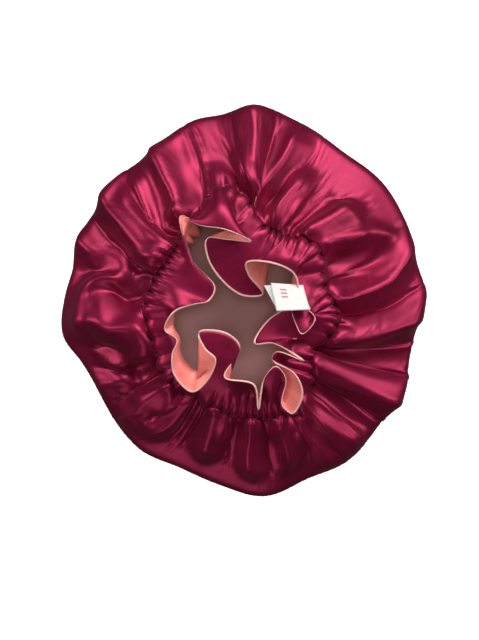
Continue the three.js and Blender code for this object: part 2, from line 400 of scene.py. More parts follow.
NEAR_NECK = (5.0, 4.5, 2.5)  # the even steps end at the first of these; the others are rings of their own

crown_rings = [25, 50, 75, 97, 116, 132, 144, 152, 158]
slope_rings = list(np.arange(CUT["rim"], CUT["neck"] - NEAR_NECK[0], SLOPE_STEP))
slope_rings += [CUT["neck"] - back for back in NEAR_NECK[1:]]
channel_rings = list(CUT["neck"] + np.linspace(0, 1, 4) * CUT["channel"])
ruffle_start = CUT["neck"] + CUT["channel"]
HEM_BEAD = (1.8, 1.0, 0.6, 0.0)  # rings close to the edge, for its rolled seam
ruffle_rings = list(np.linspace(ruffle_start, CUT["hem"] - HEM_BEAD[0], RUFFLE_ROWS + 1)[1:])
ruffle_rings += [CUT["hem"] - back for back in HEM_BEAD[1:]]
rings = np.array(crown_rings + slope_rings + channel_rings + ruffle_rings, float)
part = ["crown"] * len(crown_rings) + ["slope"] * len(slope_rings)
part += ["channel"] * len(channel_rings) + ["ruffle"] * len(ruffle_rings)
part = np.array(part)
print("rings", len(rings), "columns", COLUMNS)

# %% [markdown]
# ## The big folds of the slope
# Between the rim and the neck the cloth has more length round than the ring it lies on, and the spare
# length stands up in folds. The big ones are a table: the bearing of each ridge near the rim, halfway
# and at the neck, where it starts and ends on the way in, how wide and high it is, how crisp its crest
# is, and how far it leans over.

# %% Ridges: rim, halfway and neck bearings; start and end from 0 at the rim to 1 at the neck
RIDGES = [
    # rim, half, neck, start, end, width, height, crisp, lean
    (88, 86, 87, -0.20, 0.95, 15, 11, 0.2, 0.0),
    (96, 93, 92, 0.42, 0.90, 6, 6, 0.2, 0.0),
    (119, 122, 126, -0.10, 1.00, 10, 13, 0.9, 0.6),
    (130, 134, 146, 0.02, 1.05, 9, 8, 0.4, 0.4),
    (136, 141, 149, 0.10, 1.05, 7, 7, 0.6, 0.3),
    (141, 148, 157, -0.15, 1.05, 11, 12, 0.3, 0.4),
    (159, 163, 167, -0.15, 0.75, 14, 7, 0.6, 0.0),
    (178, 172, 168, 0.10, 1.05, 9, 9, 0.8, -0.5),
    (184, 187, 197, 0.02, 1.05, 15, 13, 0.1, 0.3),
    (197, 204, 200, 0.18, 1.05, 8, 9, 0.5, 0.6),
    (210, 215, 221, -0.20, 0.60, 13, 6, 0.3, 0.0),
    (226, 227, 231, 0.00, 1.05, 9, 9, 0.5, -0.3),
    (231, 237, 241, 0.12, 1.05, 8, 7, 0.5, 0.3),
    (256, 255, 256, 0.18, 1.05, 7, 9, 0.5, 0.0),
    (275, 272, 276, 0.15, 1.05, 7, 8, 0.5, -0.2),
    (283, 285, 283, 0.15, 1.05, 8, 8, 0.6, 0.2),
    (298, 293, 287, -0.05, 0.95, 14, 7, 0.3, 0.3),
    (310, 303, 298, -0.05, 1.05, 13, 8, 0.2, 0.0),
    (327, 324, 318, -0.15, 1.05, 8, 12, 0.7, -0.2),
    (356, 349, 338, -0.10, 1.05, 10, 13, 0.7, -0.5),
    (20, 5, 2, -0.10, 1.05, 11, 10, 0.4, -0.2),
    (18, 28, 34, 0.08, 1.05, 9, 8, 0.5, 0.5),
    (34, 39, 44, 0.30, 1.05, 10, 10, 0.4, 0.4),
    (51, 57, 63, 0.42, 1.05, 8, 7, 0.5, 0.3),
    (60, 65, 72, 0.28, 1.05, 10, 8, 0.3, 0.3),
    (71, 75, 81, 0.00, 1.05, 9, 10, 0.6, 0.4),
]
RIDGE_HEIGHT = 1.6       # all heights in the table are raised by this
RIDGE_RISE = 0.2         # how much of the way in a ridge takes to reach its height
RIDGE_TAPER = (1.3, 0.6)  # its width at the rim and at the neck, to its width halfway
CREST = {"tip": 0.01, "fall": 1.5}  # how blunt a crisp crest is, and how fast it falls off


def ridge_bearing(row, t):
    """The ridge's bearing: a parabola through its three bearings, all within half a turn."""
    half = row[1]
    rim = half + (row[0] - half + 180) % 360 - 180
    neck = half + (row[2] - half + 180) % 360 - 180
    return rim * (1 - t) * (1 - 2 * t) + half * 4 * t * (1 - t) + neck * t * (2 * t - 1)


def ridge_heights(bearing, reach, t):
    """How far the ridges lift one ring of cloth, and how far they push it sideways."""
    lift = np.zeros(len(bearing))
    push = np.zeros(len(bearing))
    for row in RIDGES:
        start, end, width, height, crisp, lean = row[3:]
        grown = smooth((t - start) / RIDGE_RISE) * smooth((end - t) / RIDGE_RISE)
        away = (bearing - ridge_bearing(row, t) + 180) % 360 - 180
        wide = width * (RIDGE_TAPER[0] + (RIDGE_TAPER[1] - RIDGE_TAPER[0]) * min(max(t, 0), 1))
        across = np.radians(away) * reach / wide
        sharp = np.exp(-np.sqrt(across**2 + CREST["tip"]) * CREST["fall"])
        shape = (1 - crisp) * np.exp(-across**2) + crisp * sharp
        lift += RIDGE_HEIGHT * height * grown * shape
        push += RIDGE_HEIGHT * height * grown * shape * lean
    return lift, push


# %% [markdown]
# ## Puckers at the elastic
# Close to the channel the cloth is drawn into many small loops. They are a wave round the neck whose
# spacing and depth wander, as hand-fed elastic leaves them. Away from the channel the small loops die
# out and join into larger ones. The wandering is a sum of a few slow waves with a fixed seed.

# %% Puckers
# A row for each wave: loops round the neck, seed, how far a loop wanders, how much its depth varies.
LOOP_ROWS = [
    {"count": 54, "seed": 1, "wander": 2.6, "vary": 0.75},
    {"count": 50, "seed": 9, "wander": 1.5, "vary": 0.55},
]
PUCKERS = [
    {"count": 31, "seed": 2, "wander": 1.3, "vary": 0.50},
    {"count": 17, "seed": 3, "wander": 1.1, "vary": 0.50},
]


def slow_wave(waves, size, seed):
    random = np.random.default_rng(seed)
    total = np.zeros(COLUMNS)
    for k in range(1, waves + 1):
        sine, cosine = random.normal(size=2) / math.sqrt(k)
        total += sine * np.sin(2 * math.pi * k * share) + cosine * np.cos(2 * math.pi * k * share)
    return size * total / np.abs(total).max()


def pucker_wave(count, seed, wander, vary):
    phase = count * neck_share + slow_wave(9, wander, seed)
    return np.sin(2 * math.pi * phase) * (1 + slow_wave(23, vary, seed + 50))


def loop_wave(count, seed, wander, vary):
    """Round loops with a sharp valley between two of them, from 0 up."""
    phase = count * neck_share + slow_wave(9, wander, seed)
    return np.abs(np.sin(math.pi * phase)) ** 0.8 * (1 + slow_wave(29, vary, seed + 50))


fine = loop_wave(**LOOP_ROWS[0])
fine_inside = loop_wave(**LOOP_ROWS[1])
middling, coarse = (pucker_wave(**row) for row in PUCKERS)
print("puckers", [row["count"] for row in PUCKERS])

# %% [markdown]
# ## The middle of the wall
# The two layers lie close together, so one middle surface is shaped first and both layers are laid off
# from it later. Each ring is placed by its part of the bonnet.

# %% Directions at the neck
UP = np.array([0.0, 0.0, 1.0])
BEARING_STEP = 2.0


def neck_point(up):
    return polar(foot, neck_reach(foot), NECK["height"] + neck_lift(foot) + up * NECK["half"])


ahead = polar(foot + BEARING_STEP, neck_reach(foot + BEARING_STEP), 0 * foot)
behind = polar(foot - BEARING_STEP, neck_reach(foot - BEARING_STEP), 0 * foot)
neck_out = np.stack([(ahead - behind)[:, 1], -(ahead - behind)[:, 0], 0 * foot], -1)
neck_out /= np.linalg.norm(neck_out, axis=1)[:, None]


# %% Rings of the crown, the rim and the slope
def crown_ring(ring):
    reach = rim_reach(rim_bearing) - CLOTH_MIDDLE - RIM_TURN["radius"]
    return polar(rim_bearing, reach * ring / CUT["rim"], 0 * reach + CLOTH_MIDDLE)


# The slope's bulge; how evenly and how late it climbs; the share of a ridge's way that is on the rim turn;
# where on that turn a ridge starts to lift; and where and how much it lifts sideways instead of up.
SLOPE = {"bulge": 4.0, "even": 0.6, "late": 2.2, "on_turn": 0.04, "lift_from": 0.25, "low": 0.6, "out": 0.3}


def slope_ring(ring):
    whole = (ring - CUT["rim"]) / (CUT["neck"] - CUT["rim"])
    bearing = rim_bearing + (foot - rim_bearing) * smooth(whole)
    rim = rim_reach(bearing) - CLOTH_MIDDLE
    turned = min((ring - CUT["rim"]) / RIM_TURN["cloth"], 1.0)
    angle = -math.pi / 2 + turned * RIM_TURN["angle"]
    reach = rim - RIM_TURN["radius"] * (1 - math.cos(angle))
    z = CLOTH_MIDDLE + RIM_TURN["radius"] * (1 + math.sin(angle)) + 0 * reach
    turn_end = CUT["rim"] + RIM_TURN["cloth"]
    inwards = max((ring - CUT["rim"] - RIM_TURN["cloth"]) / (CUT["neck"] - turn_end), 0.0)
    neck_z = NECK["height"] - NECK["half"] + neck_lift(foot)
    reach = reach + (neck_reach(foot) - reach) * inwards
    climb = SLOPE["even"] * inwards + (1 - SLOPE["even"]) * inwards ** SLOPE["late"]
    z = z + (neck_z - z) * climb + SLOPE["bulge"] * math.sin(math.pi * inwards)
    way = SLOPE["on_turn"] + (1 - SLOPE["on_turn"]) * inwards if turned >= 1 else SLOPE["on_turn"] * turned
    lift, push = ridge_heights(bearing, reach, way)
    grown = smooth((turned - SLOPE["lift_from"]) / (1 - SLOPE["lift_from"]))
    lift = lift * grown
    push = push * grown
    place = polar(bearing, reach, z)
    radial = polar(bearing, 1 + 0 * reach, 0 * reach)
    sideways = np.stack([-radial[:, 1], radial[:, 0], 0 * reach], -1)
    low = smooth((1 - turned) / SLOPE["low"]) if turned < 1 else 0.0
    return place + lift[:, None] * (UP * (1 - low) + radial * low * SLOPE["out"]) + push[:, None] * sideways


# %% Puckers on the rings near the neck
# A row for each wave: its depth, how far from the channel it starts, and what it grows and fades over.
PUCKER_DEPTHS = [(middling, 1.7, 26, 20, 9), (coarse, 3.0, 46, 34, 16)]
STANDING = {"reach": 26, "up_lost": 0.85, "out": 0.2}  # close to the channel, puckers stand outwards


def pucker_depth(ring):
    left = CUT["neck"] - ring
    return sum(
        depth * wave * smooth((start - left) / grow) * smooth(left / fade)
        for wave, depth, start, grow, fade in PUCKER_DEPTHS
    )


def puckered(place, ring):
    standing = smooth((STANDING["reach"] - CUT["neck"] + ring) / STANDING["reach"])
    outwards = STANDING["out"] + (1 - STANDING["out"]) * standing
    direction = UP * (1 - STANDING["up_lost"] * standing) + neck_out * outwards
    direction = direction / np.linalg.norm(direction, axis=1)[:, None]
    return place + direction * pucker_depth(ring)[:, None]


def channel_ring(ring):
    return neck_point(-1 + 2 * (ring - CUT["neck"]) / CUT["channel"])


RUFFLE = {"curl": 1.35, "rise": 6.0, "pleat": 1.6, "pleat_in": 0.25, "pleat_out": 0.6}
CUP = {"inset": 15.0, "from": -41.0, "full": -20.0, "lowest": 0.42, "dip": 6.0, "passes": 40}
# At the back left the ruffle stands closed: no cup opens within "half" degrees on each side of this bearing.
CLOSED = {"bearing": 128.0, "half": 24.0, "edge": 10.0}


def cup_share():
    """1 where the hem flares out over the neck and opens a cup, 0 where it leans in over the hollow."""
    flare = ((hem_line - neck_point(1)) * neck_out).sum(1)
    share_of_cup = smooth((flare - CUP["from"]) / (CUP["full"] - CUP["from"]))
    off = np.abs((foot - CLOSED["bearing"] + 180.0) % 360.0 - 180.0)
    share_of_cup = share_of_cup * smooth((off - CLOSED["half"]) / CLOSED["edge"])
    for _ in range(CUP["passes"]):
        share_of_cup = (np.roll(share_of_cup, 1) + share_of_cup + np.roll(share_of_cup, -1)) / 3
    return share_of_cup


def ruffle_ring(ring):
    """In a cup the cloth first runs in from the elastic, then rises and flares out, so its lining shows."""
    t = (ring - ruffle_start) / (CUT["hem"] - ruffle_start)
    base = neck_point(1)
    place = base + (hem_line - base) * t ** RUFFLE["curl"]
    place[:, 2] = base[:, 2] + (hem_line[:, 2] - base[:, 2]) * t + RUFFLE["rise"] * math.sin(math.pi * t)
    pleats = RUFFLE["pleat"] * coarse * smooth(t / RUFFLE["pleat_in"]) * smooth((1 - t) / RUFFLE["pleat_out"])
    warped = t ** (math.log(0.5) / math.log(CUP["lowest"]))
    cup = cup_share() * math.sin(math.pi * warped)
    place = place - UP * (CUP["dip"] * cup)[:, None]
    return place + neck_out * (pleats - CUP["inset"] * cup)[:, None]


# %% All rings
makers = {
    "crown": crown_ring,
    "slope": lambda ring: puckered(slope_ring(ring), ring),
    "channel": channel_ring,
    "ruffle": ruffle_ring,
}
designed = np.array([makers[name](ring) for name, ring in zip(part, rings)])


def round_lengths(surface):
    return np.linalg.norm(np.roll(surface, -1, 1) - surface, axis=2)


def print_rings(surface):
    length = round_lengths(surface).sum(1)
    for row in range(0, len(rings), 10):
        print("ring", round(rings[row], 1), part[row], "round, mm", round(float(length[row])))


print_rings(designed)

# %% [markdown]
# ## Relaxing the cloth
# A designed surface has stretched and crushed patches that cloth can't have. Each edge of the mesh gets a
# rest length, and the points are moved step by step until the edges have it: the same idea as a cloth
# simulation without time. Edges along the disc's radius rest at their designed length. Round a ring of the
# slope, an edge rests a little over its designed length, with a small even share that spreads the gathers.

# %% Rest lengths
EVEN_SHARE = 0.10
SLACK = 1.05

round_rest = round_lengths(designed)
slope_rows = np.flatnonzero(part == "slope")
for row in slope_rows:
    even_edge = SLACK * round_rest[row].sum() / COLUMNS
    round_rest[row] = EVEN_SHARE * even_edge + (1 - EVEN_SHARE) * round_rest[row] * SLACK
along_rest = np.linalg.norm(np.diff(designed, axis=0), axis=2)
# How much of the way back to its design a point goes in each round, by part, and near the rim and the hem.
HOLD = {"crown": 1.0, "slope": 0.02, "channel": 1.0, "ruffle": 0.05, "near_rim": 0.25, "near_hem": 0.6}
NEAR_RIM = 14.0
NEAR_HEM = 2.5
hold = np.array([HOLD[name] for name in part])
hold[(part == "slope") & (rings < CUT["rim"] + NEAR_RIM)] = HOLD["near_rim"]
hold[rings > CUT["hem"] - NEAR_HEM] = HOLD["near_hem"]


# %% Move the points until the edges have their lengths
CALM = {"amount": 0.40, "round": 0.6, "along": 0.4, "every": 4}
ROUNDS = 120
ALONG_STIFFNESS = 0.6
BEND = {"stiffness": 0.2, "round": 0.94, "along": 0.97, "broad": 0.86}
BROAD = 16  # columns that hardly bend together, so that the folds stay broad
broad_rest = sum(np.roll(round_rest, -k, 1) for k in range(BROAD)) * BEND["broad"]


def correct(surface, row_a, row_b, column_a, column_b, rest, stiffness, push_only=False):
    """Moves both ends of a set of edges that share no point."""
    a = surface[row_a[:, None], column_a[None]]
    b = surface[row_b[:, None], column_b[None]]
    gap = b - a
    length = np.linalg.norm(gap, axis=2) + 1e-9
    amount = (length - rest) / length * stiffness / 2
    if push_only:
        amount = np.minimum(amount, 0)
    surface[row_a[:, None], column_a[None]] += amount[..., None] * gap
    surface[row_b[:, None], column_b[None]] -= amount[..., None] * gap


def calm(surface):
    """Takes out wrinkles finer than the cloth would make, on the slope only."""
    rows = np.flatnonzero((part == "slope") & (rings > CUT["rim"] + 1))
    inner = surface[rows]
    around = (np.roll(inner, 1, 1) + np.roll(inner, -1, 1)) / 2
    along = (surface[rows - 1] + surface[rows + 1]) / 2
    surface[rows] += (CALM["round"] * around + CALM["along"] * along - inner) * CALM["amount"]


def relax(surface, rounds):
    all_rows = np.arange(len(rings))
    bend = BEND["stiffness"]

    def correct_round(rows, reach, rest, stiffness, push_only=False):
        """Edges from each column to the one reach further round, in sets that share no point."""
        for first in range(2 * reach):
            columns = np.arange(first, COLUMNS, 2 * reach)
            ends = (columns + reach) % COLUMNS
            correct(surface, rows, rows, columns, ends, rest[rows][:, columns], stiffness, push_only)

    def correct_along(reach, rest, stiffness, push_only=False):
        """The same from each ring to the one reach further out."""
        columns = np.arange(COLUMNS)
        for first in range(2 * reach):
            rows = np.arange(first, len(rings) - reach, 2 * reach)
            correct(surface, rows, rows + reach, columns, columns, rest[rows], stiffness, push_only)

    two_round = (round_rest + np.roll(round_rest, -1, 1)) * BEND["round"]
    two_along = (along_rest[:-1] + along_rest[1:]) * BEND["along"]
    for turn in range(rounds):
        correct_round(all_rows, 1, round_rest, 1.0)
        correct_along(1, along_rest, ALONG_STIFFNESS)
        correct_round(all_rows, 2, two_round, bend, True)
        correct_round(slope_rows, BROAD, broad_rest, bend, True)
        correct_along(2, two_along, bend, True)
        surface += (designed - surface) * hold[:, None, None]
        if turn % CALM["every"] == CALM["every"] - 1:
            calm(surface)
        np.maximum(surface[..., 2], CLOTH_MIDDLE, out=surface[..., 2])
    return surface


middle = relax(np.array(designed), ROUNDS)
print_rings(middle)

# %% [markdown]
# ## Two layers from one middle
# The burgundy layer lies on one side of the middle surface and the coral lining on the other. In the
# channel they part, to leave room for the elastic. Each layer is a closed thin wall, with an inner and
# an outer skin that meet at the hem. The lining is a little thicker at the hem and stands past the
# burgundy, because the seam there is rolled towards the outside.

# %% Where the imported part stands
ring_box = np.stack([neck_point(0).min(0), neck_point(0).max(0)])
band_box = np.array(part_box("elastic_band")) / MM
shift = band_box.mean(0) - ring_box.mean(0)
shift[2] = 0.0
print("shift to the CAD frame, mm", np.round(shift, 2))


# %% Normals of the middle surface
def surface_normals(surface):
    across = np.roll(surface, -1, 1) - np.roll(surface, 1, 1)
    padded = np.concatenate([np.zeros((1, COLUMNS, 3)) + surface[0].mean(0), surface, surface[-1:]])
    along = padded[2:] - padded[:-2]
    normal = np.cross(along, across)
    normal /= np.linalg.norm(normal, axis=2)[..., None] + 1e-12
    return normal


normals = surface_normals(middle)
print("share of normals that point down at the crown", float((normals[0, :, 2] < 0).mean()))

# %% Loops that each layer makes at the elastic
LAYERS = {"near": 0.12, "far": 0.72, "channel": 1.1, "channel_fade": 9.0}
FADE_POWER = 1.5
SEAM_REACH = 1.6
LOOPS = {
    # side: 1 is the burgundy outside, -1 the lining
    1: {"wave": fine, "height": 6.5, "slope_fade": 12.0, "ruffle_fade": 5.5, "seam": 0.72},
    -1: {"wave": fine_inside, "height": 7.5, "slope_fade": 17.0, "ruffle_fade": 4.0, "seam": 0.72},
}


def loop_fade(ring, row):
    """1 at the channel, 0 away from it; a little less at the two seams that hold the cloth down."""
    below = max(CUT["neck"] - ring, 0.0)
    above = max(ring - ruffle_start, 0.0)
    fade = math.exp(-((below / row["slope_fade"]) ** FADE_POWER))
    fade *= math.exp(-((above / row["ruffle_fade"]) ** FADE_POWER))
    seam = min(abs(ring - CUT["neck"]), abs(ring - ruffle_start))
    return fade * (1 - (1 - row["seam"]) * math.exp(-((seam / SEAM_REACH) ** 2)))


def stand_off(side):
    """How far one layer stands off the middle, ring by ring: the elastic's room and the loops."""
    row = LOOPS[side]
    loops = row["height"] * row["wave"]
    inside = np.maximum(CUT["neck"] - rings, rings - ruffle_start)
    room = LAYERS["channel"] * smooth(1 - np.maximum(inside, 0) / LAYERS["channel_fade"])
    return room[:, None] + np.array([loop_fade(ring, row) for ring in rings])[:, None] * loops


NORMAL_PASSES = 12
TURNS_UP_OVER = 5.0   # millimetres of slope over which the loops turn from outwards to upwards
TURNS_OWN_OVER = 9.0  # and of ruffle over which they turn to the cloth's own normal


def stand_direction():
    """Straight out at the channel, upwards on the slope, and along the cloth's own normal in the ruffle."""
    below = np.maximum(CUT["neck"] - rings, 0)
    upwards = smooth(below / TURNS_UP_OVER)[:, None, None]
    own = smooth((rings - ruffle_start) / TURNS_OWN_OVER)[:, None, None]
    calm_normals = np.array(normals)
    for _ in range(NORMAL_PASSES):
        calm_normals = (np.roll(calm_normals, 1, 1) + np.roll(calm_normals, -1, 1) + calm_normals) / 3
    calm_normals /= np.linalg.norm(calm_normals, axis=2)[..., None]
    mixed = neck_out[None] * (1 - STANDING["up_lost"] * upwards) + UP * upwards
    mixed = mixed * (1 - own) + calm_normals * own
    return mixed / np.linalg.norm(mixed, axis=2)[..., None]


away_from_middle = stand_direction()

# %% Skins of a layer: how far each skin lies from the middle at the rings near the hem
HEM_SKINS = {
    # ring before the edge: near and far, for the burgundy layer and for the lining, whose edge is rolled
    1.0: ((0.12, 0.62), (0.12, 0.85)),
    0.6: (None, (-0.75, 0.90)),
    0.0: (None, (-0.50, 0.60)),
}


def layer_skins(side):
    """The near and far skins of a layer, each a grid of points in the part's frame."""
    keep = [row for row, ring in enumerate(rings) if side == -1 or ring <= CUT["hem"] - HEM_BEAD[1] + 0.01]
    near = np.full(len(rings), LAYERS["near"])
    far = np.full(len(rings), LAYERS["far"])
    for back, (outside, inside) in HEM_SKINS.items():
        pair = outside if side == 1 else inside
        if pair is not None:
            row = int(np.argmin(np.abs(rings - (CUT["hem"] - back))))
            near[row], far[row] = pair
    off = middle + away_from_middle * (side * stand_off(side))[..., None]
    skins = [off + normals * (side * distance)[:, None, None] for distance in (near, far)]
    return [skin[keep] for skin in skins]


# %% Build a layer
def cloth_piece(name, verts, faces, uv_name, flat):
    """A smooth piece from points in millimetres, with the flat cloth's own place of each point as its UV."""
    mesh = bpy.data.meshes.new(name)
    mesh.from_pydata((verts * MM).tolist(), [], faces)
    loops = np.empty(len(mesh.loops), int)
    mesh.loops.foreach_get("vertex_index", loops)
    mesh.uv_layers.new(name=uv_name).data.foreach_set("uv", (flat[loops] * MM).ravel())
    mesh.polygons.foreach_set("use_smooth", [True] * len(mesh.polygons))
    mesh.update()
    return put_in_scene(name, mesh)


def grid_faces(first, row_count, outward):
    """A fan round the pole at index first, then quads up the rings."""
    column = np.arange(COLUMNS)
    after = (column + 1) % COLUMNS
    fan = np.stack([0 * column + first, first + 1 + column, first + 1 + after], -1)
    start = np.arange(row_count - 1)[:, None] * COLUMNS + first + 1
    quads = np.stack([start + column, start + COLUMNS + column, start + COLUMNS + after, start + after], -1)
    faces = fan.tolist() + quads.reshape(-1, 4).tolist()
    return faces if outward else [face[::-1] for face in faces]


def layer_mesh(name, side):
    """One closed layer: side 1 is the burgundy outside, -1 the lining."""
    skins = layer_skins(side)
    row_count = len(skins[0])
    size = row_count * COLUMNS
    angle = 2 * math.pi * share
    flat = rings[:row_count, None, None] * np.stack([np.cos(angle), np.sin(angle)], -1)
    verts = []
    uvs = []
    faces = []
    for k, (skin, distance) in enumerate(zip(skins, (LAYERS["near"], LAYERS["far"]))):
        verts += [np.array([[0.0, 0.0, CLOTH_MIDDLE - side * distance]]), skin.reshape(-1, 3)]
        uvs += [np.zeros((1, 2)), flat.reshape(-1, 2)]
        faces += grid_faces(k * (size + 1), row_count, (k == 1) == (side == 1))
    column = np.arange(COLUMNS)
    after = (column + 1) % COLUMNS
    last = (row_count - 1) * COLUMNS + 1
    strip = np.stack([column, column + size + 1, after + size + 1, after], -1) + last
    faces += [face if side == -1 else face[::-1] for face in strip.tolist()]
    return cloth_piece(name, np.concatenate(verts) + shift, faces, "cut", np.concatenate(uvs))


outer = layer_mesh("burgundy_outside", 1)
lining = layer_mesh("coral_lining", -1)
for piece in (outer, lining):
    print(piece.name, "faces", len(piece.data.polygons))

# %% [markdown]
# ## Satin
# Satin's long floating threads make it gloss like lacquer in folds. Its gloss takes the thread's colour,
# which a Principled shader gives when it is partly metallic. A fine weave and faint streaks of uneven
# thread, both in the flat cloth's own measure, keep it from looking like plastic.

# %% Satin material
# A pale pink painted highlight on the lining's rolled hem edge, as if light caught it.
HEM_PAINTED_HIGHLIGHT = (0.90, 0.50, 0.46)
HEM_HIGHLIGHT_BAND = (1.6, 0.7)       # where the hem's painted highlight starts and is full, in millimetres before the edge
HOLLOW_SHADE_FADE = (0.13, 0.24)  # where the hollow's painted shade ends, in metres from the middle of the disc


def satin(name, deep, bright, metallic, roughness, sheen, sheen_tint, hollow_painted_shade=None):
    material, start = new_material(name)
    flat = start.out(start.node("ShaderNodeUVMap", {"uv_map": "cut"}), "UV")
    clouds = start.noise(flat, 18.0, 3.0)
    stretched = start.out(start.node("ShaderNodeMapping", Vector=flat, Scale=(25.0, 420.0, 1.0)))
    streaks = start.noise(stretched, 1.0, 2.0)
    tone = (clouds * 0.6 + streaks * 0.4).band(0.35, 0.65)
    colour = start.mix(tone, deep, bright)
    if hollow_painted_shade is not None:
        length = start.node("ShaderNodeVectorMath", {"operation": "LENGTH"}, _0=flat)
        from_middle = start.out(length, "Value")
        # Painted shade: toward the middle of the disc, down in the hollow, the lining turns a darker, greyer
        # pink.
        colour = start.mix(from_middle.band(*HOLLOW_SHADE_FADE), hollow_painted_shade, colour)
        # Painted highlight: the last millimetres before the hem turn pale pink, as if light caught the rolled
        # edge.
        seam = from_middle.band(*((CUT["hem"] - back) * MM for back in HEM_HIGHLIGHT_BAND))
        colour = start.mix(seam, colour, HEM_PAINTED_HIGHLIGHT)
    weave = start.wave("X", flat, 1100.0)
    bump = start.node("ShaderNodeBump", Height=weave * 0.08 + streaks, Distance=0.00008, Strength=0.3)
    start.shade(Base_Color=colour, Roughness=roughness + (streaks - 0.5) * 0.10, Normal=start.out(bump))
    start.shade(Metallic=metallic, Sheen_Weight=sheen, Sheen_Tint=sheen_tint, Sheen_Roughness=0.4)
    return material


burgundy = satin(
    "burgundy_satin", deep=(0.225, 0.005, 0.038), bright=(0.32, 0.008, 0.056),
    metallic=0.65, roughness=0.38, sheen=0.10, sheen_tint=(1.0, 0.45, 0.6),
)
# The lining's middle gets a darker, greyer pink: painted shade for the hollow.
coral = satin(
    "coral_satin", deep=(0.76, 0.16, 0.14), bright=(0.90, 0.24, 0.20),
    metallic=0.25, roughness=0.40, sheen=0.1, sheen_tint=(1.0, 0.8, 0.75), hollow_painted_shade=(0.56, 0.29, 0.27),
)
outer.data.materials.append(burgundy)
lining.data.materials.append(coral)

# %% [markdown]
# ## The folded label
# The label is a short woven tape, folded once at its lower end, with both ends caught under the ruffle's
# roll. The upper leaf lies open to view and the lower leaf peeps out beside it. It is one strip: a path
# that runs down the lower leaf, turns round the fold and comes back up the upper one, with a thickness.
# It carries only plain woven bars.

# %% Label strip
LABEL = {"thick": 0.35, "fold": 0.9, "bow": 1.6, "bow_in": 0.6, "sag": 0.9}
# Corners of each leaf in millimetres: at the caught end and at the fold, left and right.
LEAVES = {
    "upper": {"left_end": (25.4, 14.4, 72.0), "right_end": (54.0, 12.4, 70.0),
              "left_fold": (30.1, -9.6, 80.6), "right_fold": (59.2, -8.4, 79.2)},
    "lower": {"left_end": (19.5, 12.5, 66.0), "right_end": (50.5, 12.0, 68.0),
              "left_fold": (30.9, -9.3, 78.8), "right_fold": (60.0, -8.0, 77.4)},
}
LABEL_PLACE = np.array([-2.0, 1.2, 0.0])
LEAF_ROWS = 22
FOLD_ROWS = 7
LABEL_COLUMNS = 28


def leaf_line(leaf, along):
    """A leaf's points from left to right: along is 0 at the caught end and 1 at the fold."""
    corners = {name: np.array(place) + LABEL_PLACE for name, place in LEAVES[leaf].items()}
    across = np.arange(LABEL_COLUMNS)[:, None] / (LABEL_COLUMNS - 1)
    caught = corners["left_end"] * (1 - across) + corners["right_end"] * across
    folded = corners["left_fold"] * (1 - across) + corners["right_fold"] * across
    bow = LABEL["bow"] * np.sin(math.pi * across) * (1 - LABEL["bow_in"] + LABEL["bow_in"] * along)
    return caught * (1 - along) + folded * along + UP * (bow - LABEL["sag"] * math.sin(math.pi * along))


def label_rows():
    """The strip's middle line at each column: down the lower leaf, round the fold and up the upper leaf."""
    rows = [leaf_line("lower", k / LEAF_ROWS) for k in range(LEAF_ROWS)]
    low, high = leaf_line("lower", 1.0), leaf_line("upper", 1.0)
    for k in range(FOLD_ROWS):
        turn = math.pi * (k + 0.5) / FOLD_ROWS
        round_fold = (low + high) / 2 + (low - high) / 2 * math.cos(turn)
        rows.append(round_fold - np.array([0, LABEL["fold"] * math.sin(turn), 0]))
    return np.array(rows + [leaf_line("upper", k / LEAF_ROWS) for k in range(LEAF_ROWS, -1, -1)])


def label_mesh(name):
    strip = label_rows()
    row_count = len(strip)
    along = np.gradient(strip, axis=0)
    across = np.gradient(strip, axis=1)
    normal = np.cross(along, across)
    normal /= np.linalg.norm(normal, axis=2)[..., None]
    verts = np.concatenate([strip + normal * LABEL["thick"] / 2, strip - normal * LABEL["thick"] / 2])
    size = row_count * LABEL_COLUMNS
    index = np.arange(size).reshape(row_count, LABEL_COLUMNS)
    quads = np.stack([index[:-1, :-1], index[1:, :-1], index[1:, 1:], index[:-1, 1:]], -1).reshape(-1, 4)
    rim = np.concatenate([index[0], index[1:, -1], index[-1, -2::-1], index[-2:0:-1, 0]])
    after = np.roll(rim, -1)
    sides = np.stack([rim, after, size + after, size + rim], -1)
    faces = np.concatenate([quads, size + quads[:, [0, 3, 2, 1]], sides]).tolist()
    length = np.concatenate([[0], np.cumsum(np.linalg.norm(np.diff(strip[:, 0], axis=0), axis=1))])
    width = np.linalg.norm(strip[-1, -1] - strip[-1, 0])
    flat = np.stack(np.meshgrid(np.linspace(0, width, LABEL_COLUMNS), length), -1).reshape(-1, 2)
    made = cloth_piece(name, verts.reshape(-1, 3), faces, "tape", np.concatenate([flat, flat]))
    return made, length[-1] * MM, width * MM


label, label_length, label_width = label_mesh("folded_label")
print("label, m", round(label_length, 4), "by", round(label_width, 4))


# %% Label material: a plain pale tape with woven edges and three short bars, in metres
BAR = {"start": 0.0070, "end": 0.0125, "wide": 0.0016, "soft": 0.0003}
BAR_PLACES = (0.0050, 0.0085, 0.0120)
WOVEN_EDGE = (0.0012, 0.0004)


